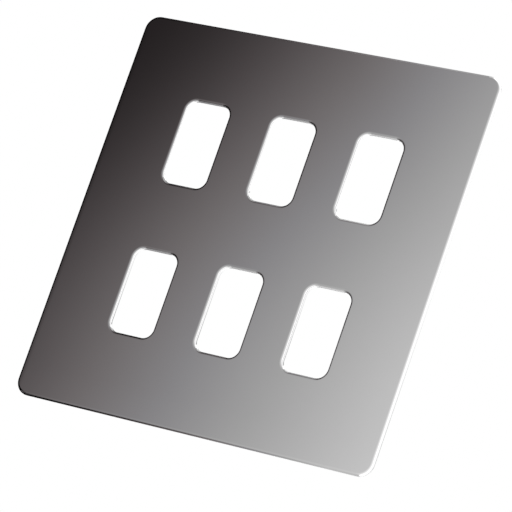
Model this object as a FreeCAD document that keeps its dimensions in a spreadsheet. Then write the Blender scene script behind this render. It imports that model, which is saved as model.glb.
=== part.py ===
"""Clip-on cover plate of a two-row grid switch: a polished metal plate and the moulded frame behind it.

Millimetres. The plate hangs upright as on a wall: +X to the right, +Z up and the face towards -Y.
The origin is the middle of the wall plane, on which the rear rim of the clip frame seats.
"""
import FreeCAD
import Part
import os
from math import pi

import Sketcher
from FreeCAD import Placement, Rotation, Vector

DIMENSIONS = {
    # face plate
    "plate_width": 146.0,
    "plate_height": 146.0,
    "plate_thick": 1.5,
    "plate_corner": 5.3,
    "plate_edge_round": 1.0,
    "plate_rear_break": 0.3,
    # windows for the switch modules
    "window_width": 17.85,
    "window_height": 31.4,
    "window_corner": 3.8,
    "window_edge_round": 1.0,
    "window_columns": 3,
    "window_rows": 2,
    "column_pitch": 35.55,
    "row_pitch": 56.6,
    "window_rise": 0.4,
    # clip frame: a flange on the back of the plate, and a skirt that stands on the wall
    "frame_inset": 5.0,
    "frame_depth": 5.5,
    "frame_corner": 4.0,
    "skirt_thick": 1.6,
    "flange_lip": 2.6,
    "flange_corner": 3.0,
    "flange_thick": 1.2,
    # snap hooks that grip the edge of the grid frame
    "hook_width": 12.0,
    "hook_spacing": 76.0,
    "hook_thick": 1.4,
    "hook_gap": 1.6,
    "hook_short_of_wall": 0.5,
    "barb_reach": 0.8,
    "barb_land": 0.4,
    "barb_slope": 1.2,
    "core_hole_margin": 0.5,
    # notch for a screwdriver blade, under the bottom edge
    "notch_width": 8.0,
    "notch_depth": 2.0,
}

doc = FreeCAD.newDocument("grid_switch_plate")


def make_sheet():
    """Puts the driving dimensions in a spreadsheet, one alias a row."""
    sheet = doc.addObject("Spreadsheet::Sheet", "dims")
    for row, (alias, value) in enumerate(DIMENSIONS.items(), start=1):
        sheet.set(f"A{row}", alias)
        sheet.set(f"B{row}", str(value))
        sheet.setAlias(f"B{row}", alias)
    doc.recompute()


def bind(target, **expressions):
    """Binds properties of a feature to spreadsheet expressions, in which @ stands for the sheet."""
    for name, text in expressions.items():
        target.setExpression(name, text.replace("@", "dims."))


def make_body(label):
    """Adds an empty body whose label names its file."""
    body = doc.addObject("PartDesign::Body", label)
    body.Label = label
    body.Placement = Placement(Vector(), Rotation())
    return body


def origin_feature(body, role):
    """Finds a plane or an axis of the body's own origin."""
    return next(f for f in body.Origin.OriginFeatures if f.Role == role)


def make_sketch(body, name, role, offset="0"):
    """Adds a sketch on an origin plane, moved along the plane's normal by an expression."""
    sketch = body.newObject("Sketcher::SketchObject", name)
    sketch.AttachmentSupport = [(origin_feature(body, role), "")]
    sketch.MapMode = "FlatFace"
    bind(sketch, **{".AttachmentOffset.Base.z": offset})
    return sketch


def limit(sketch, name, expression, *constraint):
    """Adds a named size constraint and binds it to an expression."""
    sketch.renameConstraint(sketch.addConstraint(Sketcher.Constraint(*constraint)), name)
    bind(sketch, **{f"Constraints.{name}": expression})


def value(expression):
    """Works out an expression of the sheet, for the first drawing of a sketch."""
    result = doc.dims.evalExpression(expression.replace("@", "dims."))
    return float(getattr(result, "Value", result))


def rounded_rectangle(sketch, name, width, height, corner, middle=("0", "0")):
    """Draws a rounded rectangle round a point; sizes and point are expressions of the sheet."""
    arc = value(corner)
    half_w, half_h = value(width) / 2, value(height) / 2
    mid = Vector(value(middle[0]), value(middle[1]), 0)
    x, z = half_w - arc, half_h - arc
    arcs = []
    for quarter, (centre_x, centre_z) in enumerate(((x, z), (-x, z), (-x, -z), (x, -z))):
        circle = Part.Circle(mid + Vector(centre_x, centre_z, 0), Vector(0, 0, 1), arc)
        arcs.append(sketch.addGeometry(Part.ArcOfCircle(circle, quarter * pi / 2, (quarter + 1) * pi / 2)))
    sides = (
        ((x, half_h), (-x, half_h)),
        ((-half_w, z), (-half_w, -z)),
        ((-x, -half_h), (x, -half_h)),
        ((half_w, -z), (half_w, z)),
    )
    for side, (start, end) in enumerate(sides):
        line = sketch.addGeometry(Part.LineSegment(mid + Vector(*start, 0), mid + Vector(*end, 0)))
        sketch.addConstraint(Sketcher.Constraint("Tangent", arcs[side], 2, line, 1))
        sketch.addConstraint(Sketcher.Constraint("Tangent", line, 2, arcs[(side + 1) % 4], 1))
        sketch.addConstraint(Sketcher.Constraint("Vertical" if side % 2 else "Horizontal", line))
    sketch.addConstraint(Sketcher.Constraint("Equal", arcs[0], arcs[1]))
    sketch.addConstraint(Sketcher.Constraint("Equal", arcs[0], arcs[2]))
    point = sketch.addGeometry(Part.Point(mid), True)
    sketch.addConstraint(Sketcher.Constraint("Symmetric", arcs[0], 3, arcs[2], 3, point, 1))
    limit(sketch, f"{name}_corner", corner, "Radius", arcs[0], arc)
    flat_width, flat_height = f"{width} - 2 * ({corner})", f"{height} - 2 * ({corner})"
    limit(sketch, f"{name}_width", flat_width, "DistanceX", arcs[1], 3, arcs[0], 3, 2 * x)
    limit(sketch, f"{name}_height", flat_height, "DistanceY", arcs[3], 3, arcs[0], 3, 2 * z)
    limit(sketch, f"{name}_x", middle[0], "DistanceX", -1, 1, point, 1, mid.x)
    limit(sketch, f"{name}_z", middle[1], "DistanceY", -1, 1, point, 1, mid.y)


def add(body, kind, name, profile, **expressions):
    """Adds a pad or a pocket of a sketch and makes it the tip of its body."""
    feature = body.newObject(f"PartDesign::{kind}", name)
    feature.Profile = profile
    bind(feature, **expressions)
    body.Tip = feature
    doc.recompute()
    return feature


def mirror_both(body, name, feature):
    """Repeats a feature on both sides of the upright and of the level middle plane."""
    repeat = body.newObject("PartDesign::MultiTransform", name)
    mirrors = []
    for role in ("YZ_Plane", "XY_Plane"):
        mirror = body.newObject("PartDesign::Mirrored", f"{name}_{role[:2].lower()}")
        mirror.MirrorPlane = (origin_feature(body, role), [""])
        mirrors.append(mirror)
    repeat.Originals = [feature]
    repeat.Transformations = mirrors
    body.Tip = repeat
    doc.recompute()


def edges_on_plane(shape, y, inside):
    """Names the edges on the plane at y: those of the outline, or those of the windows inside it."""
    names = []
    box = shape.optimalBoundingBox()
    near = 1e-4
    for number, edge in enumerate(shape.Edges, start=1):
        ends = edge.BoundBox
        if abs(ends.YMin - y) > near or abs(ends.YMax - y) > near:
            continue
        on_outline = (
            min(ends.XMin - box.XMin, box.XMax - ends.XMax) < near
            or min(ends.ZMin - box.ZMin, box.ZMax - ends.ZMax) < near
        )
        if on_outline != inside:
            names.append(f"Edge{number}")
    return names


def round_edges(body, name, rear, inside, radius):
    """Rounds the front or the rear edges of the plate, at its outline or at its windows."""
    before = body.Tip
    box = before.Shape.optimalBoundingBox()
    fillet = body.newObject("PartDesign::Fillet", name)
    fillet.Base = (before, edges_on_plane(before.Shape, box.YMax if rear else box.YMin, inside))
    bind(fillet, Radius=radius)
    body.Tip = fillet
    doc.recompute()


def make_front_plate():
    """The face: one blanked and polished metal plate with a window for each switch module."""
    body = make_body("front_plate")
    outline = make_sketch(body, "plate_outline", "XZ_Plane", "@frame_depth")
    rounded_rectangle(outline, "plate", "@plate_width", "@plate_height", "@plate_corner")
    add(body, "Pad", "plate_blank", outline, Length="@plate_thick")

    first_window = make_sketch(body, "window_outline", "XZ_Plane", "@frame_depth")
    corner_window = (
        "-(@window_columns - 1) / 2 * @column_pitch", "@window_rise - (@window_rows - 1) / 2 * @row_pitch"
    )
    rounded_rectangle(
        first_window, "window", "@window_width", "@window_height", "@window_corner", corner_window
    )
    window = add(body, "Pocket", "window", first_window, Length="@plate_thick")
    window.Reversed = True
    doc.recompute()

    grid = body.newObject("PartDesign::MultiTransform", "window_grid")
    ways = (("columns", "X_Axis", "@column_pitch"), ("rows", "Z_Axis", "@row_pitch"))
    patterns = []
    for count, axis, pitch in ways:
        pattern = body.newObject("PartDesign::LinearPattern", f"window_{count}_pattern")
        pattern.Direction = (origin_feature(body, axis), [""])
        pattern.Mode = "Spacing"
        bind(pattern, Offset=pitch, Occurrences=f"@window_{count}")
        patterns.append(pattern)
    grid.Originals = [window]
    grid.Transformations = patterns
    body.Tip = grid
    doc.recompute()

    round_edges(body, "window_edge", False, True, "@window_edge_round")
    round_edges(body, "outline_edge", False, False, "@plate_edge_round")
    round_edges(body, "outline_rear_edge", True, False, "@plate_rear_break")
    return body


def polygon(sketch, name, corners):
    """Draws a closed polygon whose corners are pairs of expressions of the sheet."""
    points = [Vector(value(x), value(y), 0) for x, y in corners]
    lines = []
    for number, start in enumerate(points):
        end = points[(number + 1) % len(points)]
        lines.append(sketch.addGeometry(Part.LineSegment(start, end)))
    for number, line in enumerate(lines):
        following = lines[(number + 1) % len(lines)]
        sketch.addConstraint(Sketcher.Constraint("Coincident", line, 2, following, 1))
    for number, (x, y) in enumerate(corners):
        limit(sketch, f"{name}_x{number}", x, "DistanceX", -1, 1, lines[number], 1, points[number].x)
        limit(sketch, f"{name}_y{number}", y, "DistanceY", -1, 1, lines[number], 1, points[number].y)


def ring(body, name, start, depth, inner_inset, inner_corner):
    """Pads a ring between the outside of the clip frame and the same outline taken in by an expression."""
    sketch = make_sketch(body, f"{name}_outline", "XZ_Plane", start)
    width, height = "(@plate_width - 2 * @frame_inset)", "(@plate_height - 2 * @frame_inset)"
    rounded_rectangle(sketch, "outside", width, height, "@frame_corner")
    inner_width, inner_height = f"({width} - 2 * {inner_inset})", f"({height} - 2 * {inner_inset})"
    rounded_rectangle(sketch, "inside", inner_width, inner_height, inner_corner)
    add(body, "Pad", name, sketch, Length=depth)


def hook_places(plate_side):
    """Distances from the middle of the plate to a hook's back, its front and the tip of its barb."""
    back = f"({plate_side} / 2 - @frame_inset - @skirt_thick - @hook_gap)"
    front = f"({back} - @hook_thick)"
    return back, front, f"({front} - @barb_reach)"


def hooks(body, name, plane, plate_side, swap):
    """Four snap hooks on one pair of opposite sides, standing on the flange with their barbs inwards."""
    back, front, barb = hook_places(plate_side)
    root, end = "-@frame_depth", "-@hook_short_of_wall"
    lead, catch = f"({end} - @barb_slope)", f"({end} - @barb_slope - @barb_land)"
    profile = [(root, back), (end, back), (end, front), (lead, barb), (catch, barb)]
    profile += [(catch, front), (root, front)]
    if swap:
        profile = [(across, along) for along, across in profile]
    sketch = make_sketch(body, f"{name}_profile", plane, "(@hook_spacing - @hook_width) / 2")
    polygon(sketch, "hook", profile)
    hook = add(body, "Pad", name, sketch, Length="@hook_width")
    mirror_both(body, f"{name}_set", hook)


def core_holes(body, name, plate_side, swap):
    """Four holes in the flange in front of the barbs, where the mould's core pin forms their undersides."""
    _, front, barb = hook_places(plate_side)
    near, far = f"({barb} - @core_hole_margin)", front
    low = "((@hook_spacing - @hook_width) / 2 - @core_hole_margin)"
    high = "((@hook_spacing + @hook_width) / 2 + @core_hole_margin)"
    corners = [(low, near), (high, near), (high, far), (low, far)]
    if swap:
        corners = [(across, along) for along, across in corners]
    sketch = make_sketch(body, f"{name}_outline", "XZ_Plane", "@frame_depth - @flange_thick")
    polygon(sketch, "hole", corners)
    hole = add(body, "Pocket", name, sketch, Length="@flange_thick")
    hole.Reversed = True
    doc.recompute()
    mirror_both(body, f"{name}_set", hole)


def release_notch(body):
    """A notch in the bottom of the skirt, open at the wall, for the blade that prises the plate off."""
    outside = "-(@plate_height / 2 - @frame_inset)"
    inside = f"({outside} + @skirt_thick)"
    left, right = "-@notch_width / 2", "@notch_width / 2"
    sketch = make_sketch(body, "notch_outline", "XZ_Plane")
    polygon(sketch, "notch", [(left, outside), (right, outside), (right, inside), (left, inside)])
    notch = add(body, "Pocket", "release_notch", sketch, Length="@notch_depth")
    notch.Reversed = True
    doc.recompute()


def make_clip_frame():
    """The back: a moulded frame, bonded to the plate by its flange, that snaps onto the grid frame."""
    body = make_body("clip_frame")
    ring(body, "skirt", "0", "@frame_depth", "@skirt_thick", "(@frame_corner - @skirt_thick)")
    hook_zone = "@hook_gap + @hook_thick + @barb_reach + @core_hole_margin"
    flange_width = f"(@skirt_thick + {hook_zone} + @flange_lip)"
    ring(body, "flange", "@frame_depth - @flange_thick", "@flange_thick", flange_width, "@flange_corner")
    hooks(body, "level_hook", "YZ_Plane", "@plate_height", False)
    hooks(body, "side_hook", "XY_Plane", "@plate_width", True)
    core_holes(body, "level_core_hole", "@plate_height", False)
    core_holes(body, "side_core_hole", "@plate_width", True)
    release_notch(body)
    return body


def check(bodies):
    """Stops before anything is written if a feature failed or a solid isn't sound."""
    for item in doc.Objects:
        if "Invalid" in item.State or "Error" in item.State:
            raise RuntimeError(f"{item.Name} failed: {item.State}")
    for body in bodies:
        shape = body.Shape
        if shape.isNull() or not shape.isValid() or len(shape.Solids) != 1:
            raise RuntimeError(f"{body.Label} isn't one sound solid")


def main():
    """Builds both pieces and writes one file for each."""
    make_sheet()
    bodies = [make_front_plate(), make_clip_frame()]
    check(bodies)
    os.makedirs("parts", exist_ok=True)
    for body in bodies:
        body.Shape.exportStep(f"parts/{body.Label}.step")
        print(body.Label, round(body.Shape.Volume, 3), "mm3", body.Shape.optimalBoundingBox())


main()
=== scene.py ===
"""Looks of a screwless grid switch plate, and the studio that its polished face mirrors.

The plate is mirror-polished dark metal, and the clip frame behind it is moulded plastic. Metres, in
the frame of the model: +X to the right, +Z up, the polished face towards -Y, the wall at y = 0.
"""
import logging
import math
from dataclasses import dataclass, field
from enum import Enum
from typing import Any, ClassVar

import bmesh
import bpy
from mathutils import Matrix, Vector

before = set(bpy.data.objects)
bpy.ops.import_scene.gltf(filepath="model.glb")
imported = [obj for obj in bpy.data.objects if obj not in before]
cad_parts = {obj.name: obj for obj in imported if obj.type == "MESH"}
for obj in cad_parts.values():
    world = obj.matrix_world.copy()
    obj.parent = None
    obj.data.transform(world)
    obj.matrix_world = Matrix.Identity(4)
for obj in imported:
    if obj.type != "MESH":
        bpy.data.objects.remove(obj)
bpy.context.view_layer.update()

MM = 0.001

log = logging.getLogger("grid_switch_plate")

Colour = tuple[float, float, float]
Place = tuple[float, float, float]
Span = tuple[float, float]
Socket = bpy.types.NodeSocket

WHITE: Colour = (1.0, 1.0, 1.0)


def opaque(colour: Colour) -> tuple[float, float, float, float]:
    """Gives a colour the full alpha that a colour socket holds."""
    return (*colour, 1.0)


class Side(Enum):
    """A side of the object.

    Each holds the direction from the object's middle, and the axes across and up a card there.
    """

    LEFT = (Vector((-1, 0, 0)), Vector((0, 1, 0)), Vector((0, 0, 1)))
    RIGHT = (Vector((1, 0, 0)), Vector((0, 1, 0)), Vector((0, 0, 1)))
    FRONT = (Vector((0, -1, 0)), Vector((1, 0, 0)), Vector((0, 0, 1)))
    BEHIND = (Vector((0, 1, 0)), Vector((1, 0, 0)), Vector((0, 0, 1)))
    ABOVE = (Vector((0, 0, 1)), Vector((1, 0, 0)), Vector((0, 1, 0)))
    BELOW = (Vector((0, 0, -1)), Vector((1, 0, 0)), Vector((0, 1, 0)))


class Along(Enum):
    """A direction on a card in which its light changes."""

    ACROSS = (1.0, 0.0, 0.0)
    UP = (0.0, 1.0, 0.0)
    TO_CORNER = (math.sqrt(0.5), math.sqrt(0.5), 0.0)


class Blend(Enum):
    """What a Mix node mixes.

    Each holds the node's data type, its inputs for the share and both sides, and its output.
    """

    COLOUR = ("RGBA", (0, 6, 7), 2)
    VALUE = ("FLOAT", (0, 2, 3), 0)


class Graph:
    """A node tree that is filled one node at a time."""

    def __init__(self, tree: bpy.types.NodeTree) -> None:
        """Takes a tree and empties it."""
        self.tree = tree
        tree.nodes.clear()

    def add(
        self, kind: str, inputs: dict[Any, Any] | None = None, **settings: Any
    ) -> bpy.types.Node:
        """Adds a node.

        Args:
            kind: the node's type, without the words ShaderNode in front.
            inputs: input name or number to a value, or to the socket that feeds it.
            **settings: properties of the node itself.

        Returns:
            The new node.
        """
        node = self.tree.nodes.new(kind if kind.startswith("Node") else f"ShaderNode{kind}")
        for name, setting in settings.items():
            setattr(node, name, setting)
        for key, given in (inputs or {}).items():
            if isinstance(given, Socket):
                self.tree.links.new(given, node.inputs[key])
            else:
                node.inputs[key].default_value = given
        return node

    def math(self, operation: str, *operands: Any) -> Socket:
        """Adds a Math node on values or sockets and returns its result."""
        return self.add("Math", dict(enumerate(operands)), operation=operation).outputs[0]

    def blend(self, kind: Blend, share: Any, first: Any, second: Any) -> Socket:
        """Mixes two colours or two values.

        Args:
            kind: what is mixed.
            share: how much of the second there is, from 0 to 1.
            first: what there is at a share of 0.
            second: what there is at a share of 1.

        Returns:
            The mixture.
        """
        data_type, inputs, output = kind.value
        mix = self.add("Mix", dict(zip(inputs, (share, first, second))), data_type=data_type)
        return mix.outputs[output]

    def remap(
        self, given: Any, source: tuple[Any, Any], target: Span = (0.0, 1.0), **settings: Any
    ) -> Socket:
        """Turns one range of values into another.

        Args:
            given: the value.
            source: the two ends of its range.
            target: what they become.
            **settings: properties of the node itself.

        Returns:
            The new value.
        """
        inputs = dict(enumerate((given, *source, *target)))
        return self.add("MapRange", inputs, **settings).outputs[0]

    def spread(self, share: Any, span: Span) -> Socket:
        """Stretches a value from 0 to 1 over a range and returns the new value."""
        return self.remap(share, (0.0, 1.0), span)


def new_material(name: str) -> tuple[bpy.types.Material, Graph]:
    """Makes an empty material.

    Args:
        name: the material's name.

    Returns:
        The material and its graph.
    """
    made = bpy.data.materials.new(name)
    made.use_nodes = True
    return made, Graph(made.node_tree)


class Effects:
    """The shader groups that the finishes use, each built once."""

    BROAD_DETAIL: ClassVar[float] = 3.0
    FINE_DETAIL: ClassVar[float] = 2.0
    REAR_TURN: ClassVar[Span] = (0.02, 0.15)

    def __init__(self) -> None:
        """Builds both groups."""
        self.mottle = self._mottle()
        self.facing = self._facing()

    @staticmethod
    def _group(
        name: str, inputs: dict[str, float], outputs: list[str]
    ) -> tuple[Graph, bpy.types.Node, bpy.types.Node]:
        """Makes an empty group with its sockets.

        Args:
            name: the group's name.
            inputs: name and default of each value that goes in.
            outputs: name of each value that comes out.

        Returns:
            The group's graph, and its nodes for what goes in and what comes out.
        """
        tree = bpy.data.node_groups.new(name, "ShaderNodeTree")
        for socket, default in inputs.items():
            made = tree.interface.new_socket(
                socket, in_out="INPUT", socket_type="NodeSocketFloat"
            )
            made.default_value = default
        for socket in outputs:
            tree.interface.new_socket(socket, in_out="OUTPUT", socket_type="NodeSocketFloat")
        graph = Graph(tree)
        return graph, graph.add("NodeGroupInput"), graph.add("NodeGroupOutput")

    def _mottle(self) -> bpy.types.NodeTree:
        """Makes a cloudy variation: broad patches with a finer grain in them.

        Returns:
            The group, whose value runs from 0 to 1.
        """
        graph, given, result = self._group(
            "mottle", {"Size": 30.0, "Grain": 4.0, "Share": 0.3}, ["Value"]
        )
        size, grain, share = (given.outputs[name] for name in ("Size", "Grain", "Share"))
        place = graph.add("TexCoord").outputs["Object"]
        broad = graph.add(
            "TexNoise", {"Vector": place, "Scale": size, "Detail": self.BROAD_DETAIL}
        )
        fine_scale = graph.math("MULTIPLY", size, grain)
        fine = graph.add(
            "TexNoise", {"Vector": place, "Scale": fine_scale, "Detail": self.FINE_DETAIL}
        )
        mixed = graph.blend(Blend.VALUE, share, broad.outputs[0], fine.outputs[0])
        graph.tree.links.new(mixed, result.inputs["Value"])
        return graph.tree

    def _facing(self) -> bpy.types.NodeTree:
        """Masks a surface by which way it looks.

        Returns:
            The group: Back where the surface looks towards the wall, Rear where it turns that way
            at all, and Edge where it looks across, as a cut edge does.
        """
        graph, given, result = self._group("facing", {"Softness": 0.2}, ["Back", "Rear", "Edge"])
        softness = given.outputs["Softness"]
        normal = graph.add("TexCoord").outputs["Normal"]
        depth = graph.add("SeparateXYZ", {0: normal}).outputs["Y"]
        threshold = graph.math("SUBTRACT", 1.0, softness)
        back = graph.remap(depth, (threshold, 1.0), interpolation_type="SMOOTHSTEP")
        flatness = graph.math("ABSOLUTE", depth)
        edge = graph.remap(flatness, (softness, 0.0), interpolation_type="SMOOTHSTEP")
        rear = graph.remap(depth, self.REAR_TURN)
        for name, mask in (("Back", back), ("Rear", rear), ("Edge", edge)):
            graph.tree.links.new(mask, result.inputs[name])
        return graph.tree


@dataclass(frozen=True)
class BlackNickel:
    """Dark plated metal: polished to a mirror in front, satin on the back."""

    mirror: Colour = (0.458, 0.456, 0.457)
    mirror_haze: Colour = (0.443, 0.441, 0.442)
    satin: Colour = (0.25, 0.243, 0.241)
    mirror_roughness: Span = (0.02, 0.05)
    satin_roughness: float = 0.36
    cut_roughness: float = 0.08
    cloud_size: float = 22.0
    cloud_grain: float = 12.0
    # painted dark reflection: a thin dark line painted into the colour along the rear of the cut
    # edges, darker low down
    painted_dark_reflection: Colour = (0.03, 0.03, 0.03)
    painted_reflection_width: float = 0.45 * MM
    # the share of its width that the line has at full strength
    painted_reflection_core: float = 0.9
    # the line is full below the first height and gone above the second
    painted_reflection_heights: Span = (-55.0 * MM, -3.0 * MM)

    def material(self, effects: Effects, rear: float) -> bpy.types.Material:
        """Builds the material.

        Args:
            effects: the shared shader groups.
            rear: where the back of the metal lies.

        Returns:
            The finished material.
        """
        made, graph = new_material("black_nickel")
        masks = graph.add("Group", node_tree=effects.facing).outputs
        cloud = graph.add(
            "Group", {"Size": self.cloud_size, "Grain": self.cloud_grain}, node_tree=effects.mottle
        ).outputs[0]
        face = graph.blend(Blend.COLOUR, cloud, opaque(self.mirror), opaque(self.mirror_haze))
        # paints a dark reflection line into the face colour along the rear of the cut edges, fading
        # upwards
        painted_dark_reflection = self._painted_reflection(graph, masks, rear)
        face = graph.blend(Blend.COLOUR, painted_dark_reflection, face, opaque(self.painted_dark_reflection))
        colour = graph.blend(Blend.COLOUR, masks["Back"], face, opaque(self.satin))
        polish = graph.spread(cloud, self.mirror_roughness)
        worked = graph.blend(Blend.VALUE, masks["Edge"], polish, self.cut_roughness)
        rough = graph.blend(Blend.VALUE, masks["Back"], worked, self.satin_roughness)
        shader = graph.add(
            "BsdfPrincipled", {"Base Color": colour, "Roughness": rough, "Metallic": 1.0}
        )
        graph.add("OutputMaterial", {"Surface": shader.outputs[0]})
        return made

    def _painted_reflection(self, graph: Graph, masks: Any, rear: float) -> Socket:
        """Masks the painted dark reflection: a thin dark line along the rear of the cut edges,
        which fades upwards.

        Args:
            graph: the material's graph.
            masks: masks by which way the surface looks.
            rear: where the back of the metal lies.

        Returns:
            The mask of the line.
        """
        place = graph.add("SeparateXYZ", {0: graph.add("TexCoord").outputs["Object"]}).outputs
        onset = (rear - self.painted_reflection_width, rear - self.painted_reflection_core * self.painted_reflection_width)
        cut = graph.math("MULTIPLY", graph.remap(place["Y"], onset), masks["Edge"])
        broken = graph.math("SUBTRACT", masks["Rear"], masks["Back"])
        fade = graph.remap(place["Z"], self.painted_reflection_heights, (1.0, 0.0))
        return graph.math("MULTIPLY", graph.math("MAXIMUM", cut, broken), fade)


@dataclass(frozen=True)
class MouldedPlastic:
    """Black plastic with the fine grain of a spark-eroded mould."""

    colour: Colour = (0.018, 0.018, 0.019)
    worn: Colour = (0.034, 0.034, 0.035)
    roughness: Span = (0.38, 0.56)
    cloud_size: float = 60.0
    grain_size: float = 2600.0
    grain_detail: float = 1.0
    grain_height: float = 0.04 * MM

    def material(self, effects: Effects) -> bpy.types.Material:
        """Builds the material.

        Args:
            effects: the shared shader groups.

        Returns:
            The finished material.
        """
        made, graph = new_material("black_moulding")
        cloud = graph.add("Group", {"Size": self.cloud_size}, node_tree=effects.mottle).outputs[0]
        colour = graph.blend(Blend.COLOUR, cloud, opaque(self.colour), opaque(self.worn))
        grain = graph.add("TexNoise", {
            "Vector": graph.add("TexCoord").outputs["Object"],
            "Scale": self.grain_size,
            "Detail": self.grain_detail,
        })
        bump = graph.add("Bump", {"Height": grain.outputs[0], "Distance": self.grain_height})
        shader = graph.add("BsdfPrincipled", {
            "Base Color": colour,
            "Roughness": graph.spread(cloud, self.roughness),
            "Normal": bump.outputs[0],
        })
        graph.add("OutputMaterial", {"Surface": shader.outputs[0]})
        return made


def dress(piece: bpy.types.Object, material: bpy.types.Material) -> None:
    """Puts one material on every slot of a piece.

    Args:
        piece: the piece of the frame.
        material: what it wears.
    """
    if not piece.material_slots:
        piece.data.materials.append(material)
    for slot in piece.material_slots:
        slot.material = material
    log.info("%s wears %s", piece.name, material.name)


@dataclass
class FrontPlate:
    """The polished plate with its windows."""

    node: str = "front_plate"
    finish: BlackNickel = field(default_factory=BlackNickel)

    def dress(self, effects: Effects) -> None:
        """Gives the plate its finish.

        Args:
            effects: the shared shader groups.
        """
        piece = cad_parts[self.node]
        rear = max(corner[1] for corner in piece.bound_box)
        dress(piece, self.finish.material(effects, rear))


@dataclass
class ClipFrame:
    """The moulded frame with its snap hooks."""

    node: str = "clip_frame"
    finish: MouldedPlastic = field(default_factory=MouldedPlastic)

    def dress(self, effects: Effects) -> None:
        """Gives the clip frame its finish."""
        dress(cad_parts[self.node], self.finish.material(effects))


@dataclass
class PhotoCamera:
    """A long lens below and to the right of the plate, rolled as the plate is seen."""

    azimuth: float = math.radians(31.1956)
    elevation: float = math.radians(-11.9993)
    roll: float = math.radians(19.3071)
    distance: float = 1.324545
    aim: Place = (3.0538 * MM, -7.0 * MM, -6.4253 * MM)
    lens: float = 269.41
    sensor: float = 36.0
    clip: Span = (0.05, 50.0)

    def build(self) -> None:
        """Adds the camera and makes it the scene's own."""
        level = math.cos(self.elevation)
        sine, cosine = math.sin(self.azimuth), math.cos(self.azimuth)
        back = Vector((sine * level, -cosine * level, math.sin(self.elevation)))
        across = Vector((cosine, sine, 0.0))
        upright = back.cross(across)
        right = math.cos(self.roll) * across + math.sin(self.roll) * upright
        up = back.cross(right)
        data = bpy.data.cameras.new("photo_camera")
        data.lens, data.sensor_width = self.lens, self.sensor
        data.clip_start, data.clip_end = self.clip
        camera = bpy.data.objects.new("photo_camera", data)
        turn = Matrix((right, up, back)).transposed().to_4x4()
        place = Vector(self.aim) + back * self.distance
        camera.matrix_world = Matrix.Translation(place) @ turn
        bpy.context.scene.collection.objects.link(camera)
        bpy.context.scene.camera = camera


@dataclass(frozen=True)
class Ramp:
    """An even change of light along a card, between two places.

    Beyond them the light stays as it is there, and the softness rounds off both ends.
    """

    along: Along
    places: Span
    lights: Span
    softness: float = 0.0

    def light(self, graph: Graph, place: Socket) -> Socket:
        """Adds the ramp to the graph of a card.

        Args:
            graph: the card's graph.
            place: the place on the card.

        Returns:
            The ramp's light.
        """
        way = graph.add("VectorMath", {0: place, 1: self.along.value}, operation="DOT_PRODUCT")
        light = graph.remap(way.outputs["Value"], self.places, self.lights, clamp=False)
        light = graph.math("SMOOTH_MIN", light, max(self.lights), self.softness)
        return graph.math("SMOOTH_MAX", light, min(self.lights), self.softness)


@dataclass(frozen=True)
class Swell:
    """The light over a card as the eye grades it, white near 1.

    Ramps are added up and eased into a least and a most.
    """

    # the light is this power of what the eye grades as even
    EYE_POWER: ClassVar[float] = 2.4
    # brightness and tint: a dark card is a little red, and a light one neutral
    TINTS: ClassVar[tuple[tuple[float, Colour], ...]] = (
        (0.25, (1.13, 0.95, 0.985)),
        (0.62, (1.065, 0.985, 1.0)),
        (0.76, (1.01, 0.99, 1.025)),
        (0.9, WHITE),
    )

    name: str
    ramps: tuple[Ramp, ...] = ()
    least: float = 0.0
    floor_softness: float = 0.04
    most: float = 9.0
    ceiling_softness: float = 0.0

    def material(self) -> bpy.types.Material:
        """Builds the material of a card.

        Returns:
            A material that gives light, tinted by its own brightness.
        """
        made, graph = new_material(self.name)
        place = graph.add("TexCoord").outputs["Object"]
        seen: Any = 0.0
        for ramp in self.ramps:
            seen = graph.math("ADD", seen, ramp.light(graph, place))
        seen = graph.math("SMOOTH_MIN", seen, self.most, self.ceiling_softness)
        seen = graph.math("SMOOTH_MAX", seen, self.least, self.floor_softness)
        strength = graph.math("POWER", seen, self.EYE_POWER)
        light = graph.add("Emission", {"Color": self._tint(graph, seen), "Strength": strength})
        graph.add("OutputMaterial", {"Surface": light.outputs[0]})
        return made

    def _tint(self, graph: Graph, seen: Socket) -> Socket:
        """Tints the light by its brightness.

        Args:
            graph: the card's graph.
            seen: the brightness as the eye grades it.

        Returns:
            The colour of the light.
        """
        tint = graph.add("ValToRGB", {0: seen})
        stops = tint.color_ramp.elements
        darkest, *between, lightest = self.TINTS
        for stop, (level, colour) in zip(stops, (darkest, lightest)):
            stop.position, stop.color = level, opaque(colour)
        for level, colour in between:
            stops.new(level).color = opaque(colour)
        return tint.outputs[0]


@dataclass(frozen=True)
class Card:
    """A flat studio card that only mirror-like surfaces see.

    It stands on one side of the object, at a distance from its middle, and reaches across and up.
    """

    name: str
    side: Side
    distance: float
    across: Span
    up: Span

    def build(self, material: bpy.types.Material) -> None:
        """Adds the card to the stage, its own x and y running across and up it.

        Args:
            material: what the card shows.
        """
        outward, across, up = self.side.value
        (left, right), (low, high) = self.across, self.up
        mesh = bpy.data.meshes.new(self.name)
        shape = bmesh.new()
        corners = [(left, low), (right, low), (right, high), (left, high)]
        shape.faces.new([shape.verts.new((x, y, 0.0)) for x, y in corners])
        shape.to_mesh(mesh)
        shape.free()
        card = bpy.data.objects.new(self.name, mesh)
        turn = Matrix((across, up, across.cross(up))).transposed().to_4x4()
        card.matrix_world = Matrix.Translation(outward * self.distance) @ turn
        mesh.materials.append(material)
        bpy.context.scene.collection.objects.link(card)
        card.visible_camera = card.visible_diffuse = card.visible_shadow = False
        card.visible_transmission = card.visible_volume_scatter = False


@dataclass(frozen=True)
class Bank:
    """Cards that share one light."""

    light: Swell
    cards: tuple[Card, ...]

    def build(self) -> None:
        """Adds the cards to the stage."""
        material = self.light.material()
        for card in self.cards:
            card.build(material)


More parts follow.
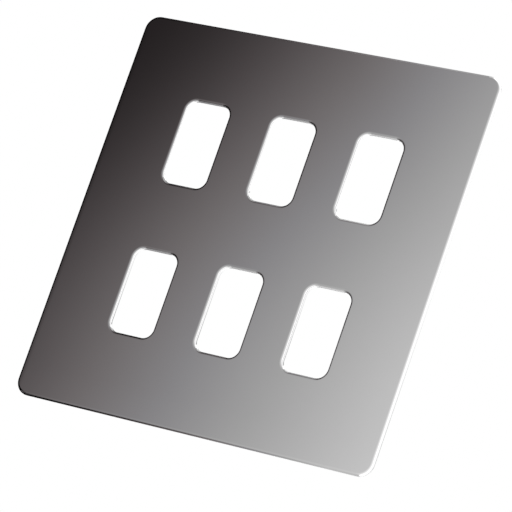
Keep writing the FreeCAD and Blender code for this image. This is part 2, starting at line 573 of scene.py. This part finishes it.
@dataclass(frozen=True)
class Lamp:
    """A square lamp that looks at the object's middle and stays out of the mirror."""

    name: str
    place: Place
    size: float
    power: float

    def build(self) -> None:
        """Adds the lamp."""
        data = bpy.data.lights.new(self.name, "AREA")
        data.size, data.energy = self.size, self.power
        lamp = bpy.data.objects.new(self.name, data)
        lamp.location = self.place
        lamp.rotation_euler = (-Vector(self.place)).to_track_quat("-Z", "Y").to_euler()
        lamp.visible_glossy = False
        bpy.context.scene.collection.objects.link(lamp)


@dataclass
class Studio:
    """Floor, background, lamps, and the ring of cards that the polished metal mirrors."""

    floor_drop: float = 0.9
    floor_radius: float = 9.0
    floor_segments: int = 96
    floor_roughness: float = 0.7
    floor_colour: Colour = (0.86, 0.86, 0.86)
    ambient: float = 0.75
    # soft lamps that shape the moulding and the shadow
    lamps: tuple[Lamp, ...] = (
        Lamp("overhead_lamp", (-0.3, -0.5, 1.3), size=1.2, power=11.0),
        Lamp("rear_lamp", (-0.5, 1.4, 0.7), size=1.0, power=9.0),
    )
    # how far from the middle the near cards stand, which is also where they meet
    front: float = 0.087
    left: float = 0.131
    top: float = 0.16
    bottom: float = 0.145
    # where the black flags on the left meet: behind the plate, and below it
    flag_rear: float = 0.06
    flag_foot: float = 0.098
    # the narrow cards just above and just below the plate
    rim: float = 0.0745

    def build(self) -> None:
        """Sets up everything round the object."""
        bpy.context.scene.view_settings.view_transform = "Standard"
        self._world()
        self._floor()
        for lamp in self.lamps:
            lamp.build()
        for bank in (self._ahead(), *self._beside(), *self._above(), *self._below()):
            bank.build()

    def _world(self) -> None:
        """A white background for the camera and the mirror, and a softer one for all else."""
        world = bpy.data.worlds.new("studio")
        bpy.context.scene.world = world
        world.use_nodes = True
        graph = Graph(world.node_tree)
        path = graph.add("LightPath").outputs
        seen = graph.math("MAXIMUM", path["Is Camera Ray"], path["Is Glossy Ray"])
        seen = graph.math("MAXIMUM", seen, path["Is Transmission Ray"])
        strength = graph.spread(seen, (self.ambient, 1.0))
        light = graph.add("Background", {"Color": opaque(WHITE), "Strength": strength})
        graph.add("OutputWorld", {"Surface": light.outputs[0]})

    def _floor(self) -> None:
        """A wide pale disc well below the plate, which hangs as it would on a wall."""
        mesh = bpy.data.meshes.new("floor")
        shape = bmesh.new()
        bmesh.ops.create_circle(
            shape, cap_ends=True, radius=self.floor_radius, segments=self.floor_segments
        )
        shape.to_mesh(mesh)
        shape.free()
        floor = bpy.data.objects.new("floor", mesh)
        floor.location.z = -self.floor_drop
        made, graph = new_material("pale_floor")
        shader = graph.add("BsdfPrincipled", {
            "Base Color": opaque(self.floor_colour), "Roughness": self.floor_roughness,
        })
        graph.add("OutputMaterial", {"Surface": shader.outputs[0]})
        mesh.materials.append(made)
        bpy.context.scene.collection.objects.link(floor)

    def _ahead(self) -> Bank:
        """Plans the near card in front, which the flat face mirrors.

        Returns:
            The card, dark at its upper left and light at its lower right.
        """
        swell = Swell("front_swell", (
            Ramp(Along.ACROSS, (-0.2487, 0.4513), (-0.4135, 5.5313)),
            Ramp(Along.UP, (-0.0056, 0.1204), (0.8222, 0.0), softness=0.7335),
            Ramp(Along.UP, (0.112, 0.16), (0.0, 0.3)),
            Ramp(Along.UP, (-0.125, -0.045), (0.17, 0.0)),
            Ramp(Along.TO_CORNER, (0.045, 0.091), (0.0, 0.06)),
            Ramp(Along.ACROSS, (-0.1265, -0.1245), (-0.2, 0.0)),
        ), least=0.2233, floor_softness=0.2925, most=1.7135, ceiling_softness=6.4418)
        across, up = (-self.left, 0.42), (-self.bottom, self.top)
        return Bank(swell, (Card("front_card", Side.FRONT, self.front, across, up),))

    def _beside(self) -> tuple[Bank, ...]:
        """Plans the cards that the edges on the right and on the left mirror.

        Returns:
            Bright cards on the right and high up, and black flags on the left.
        """
        bright = Bank(Swell("bright_card", least=1.4), (
            Card("right_card", Side.RIGHT, 0.8, across=(-1.2, 1.6), up=(-0.7, 0.9)),
            Card("high_card", Side.ABOVE, 0.5, across=(0.0, 0.9), up=(-0.6, 0.6)),
        ))
        black = Bank(Swell("black_card", least=0.03), (
            Card(
                "left_flag", Side.LEFT, self.left,
                across=(-self.front, self.flag_rear), up=(-self.flag_foot, self.top),
            ),
            # narrow, so that the upper rims of the windows mirror what lies behind it
            Card(
                "low_flag", Side.LEFT, self.left,
                across=(-self.front, -0.068), up=(-self.bottom, -self.flag_foot),
            ),
            Card(
                "rear_flag", Side.LEFT, self.left,
                across=(self.flag_rear, 0.34), up=(0.012, self.top),
            ),
        ))
        return bright, black

    def _above(self) -> tuple[Bank, ...]:
        """Plans the cards that the edges looking up mirror.

        Returns:
            A wide card, and a narrow one just above the plate, both lighter to the right.
        """
        upper = Bank(Swell("upper_swell", (
            Ramp(Along.ACROSS, (-0.16, -0.05), (0.32, 1.05)),
            Ramp(Along.UP, (0.12, 0.18), (0.0, 0.6)),
            Ramp(Along.ACROSS, (0.03, 0.05), (0.0, 0.45)),
        )), (
            Card("upper_card", Side.ABOVE, self.top, across=(-0.4, 0.06), up=(-self.front, 0.6)),
        ))
        head = Bank(Swell("head_swell", (Ramp(Along.ACROSS, (-0.051, 0.051), (0.2, 0.85)),)), (
            Card("head_card", Side.ABOVE, self.rim, across=(-0.085, 0.066), up=(-0.0088, 0.003)),
        ))
        return upper, head

    def _below(self) -> tuple[Bank, ...]:
        """Plans the cards that the edges looking down mirror.

        Returns:
            A wide card, a far one low behind the plate, and a narrow one just below the plate.
        """
        lower = Bank(Swell("lower_swell", (
            Ramp(Along.ACROSS, (-0.4, -0.2), (0.45, 1.1)),
            Ramp(Along.UP, (-0.1, 0.5), (0.0, 0.35)),
            Ramp(Along.ACROSS, (-0.08, 0.08), (0.0, 0.4)),
        ), most=1.45), (
            Card("lower_card", Side.BELOW, 0.42, across=(-1.0, 0.9), up=(-0.6, 1.0)),
        ))
        rear = Bank(Swell("rear_swell", (
            Ramp(Along.UP, (-0.29, -0.235), (0.8, 1.7)),
            Ramp(Along.ACROSS, (-0.715, -0.66), (-0.4, 0.0)),
        )), (
            Card("rear_card", Side.BEHIND, 1.1, across=(-1.4, 0.1), up=(-0.42, -0.08)),
        ))
        foot = Bank(Swell("foot_swell", (
            Ramp(Along.ACROSS, (-0.075, 0.0), (0.02, 0.55)),
            Ramp(Along.ACROSS, (0.0, 0.055), (0.0, 0.48)),
        )), (
            Card("foot_card", Side.BELOW, self.rim, across=(-0.11, 0.0686), up=(-0.008, 0.0008)),
        ))
        return lower, rear, foot


def main() -> None:
    """Builds the sub-assemblies in order, then the studio round them."""
    logging.basicConfig(level=logging.INFO)
    effects = Effects()
    for part in (FrontPlate(), ClipFrame()):
        part.dress(effects)
    Studio().build()
    PhotoCamera().build()


if __name__ == "__main__":
    main()
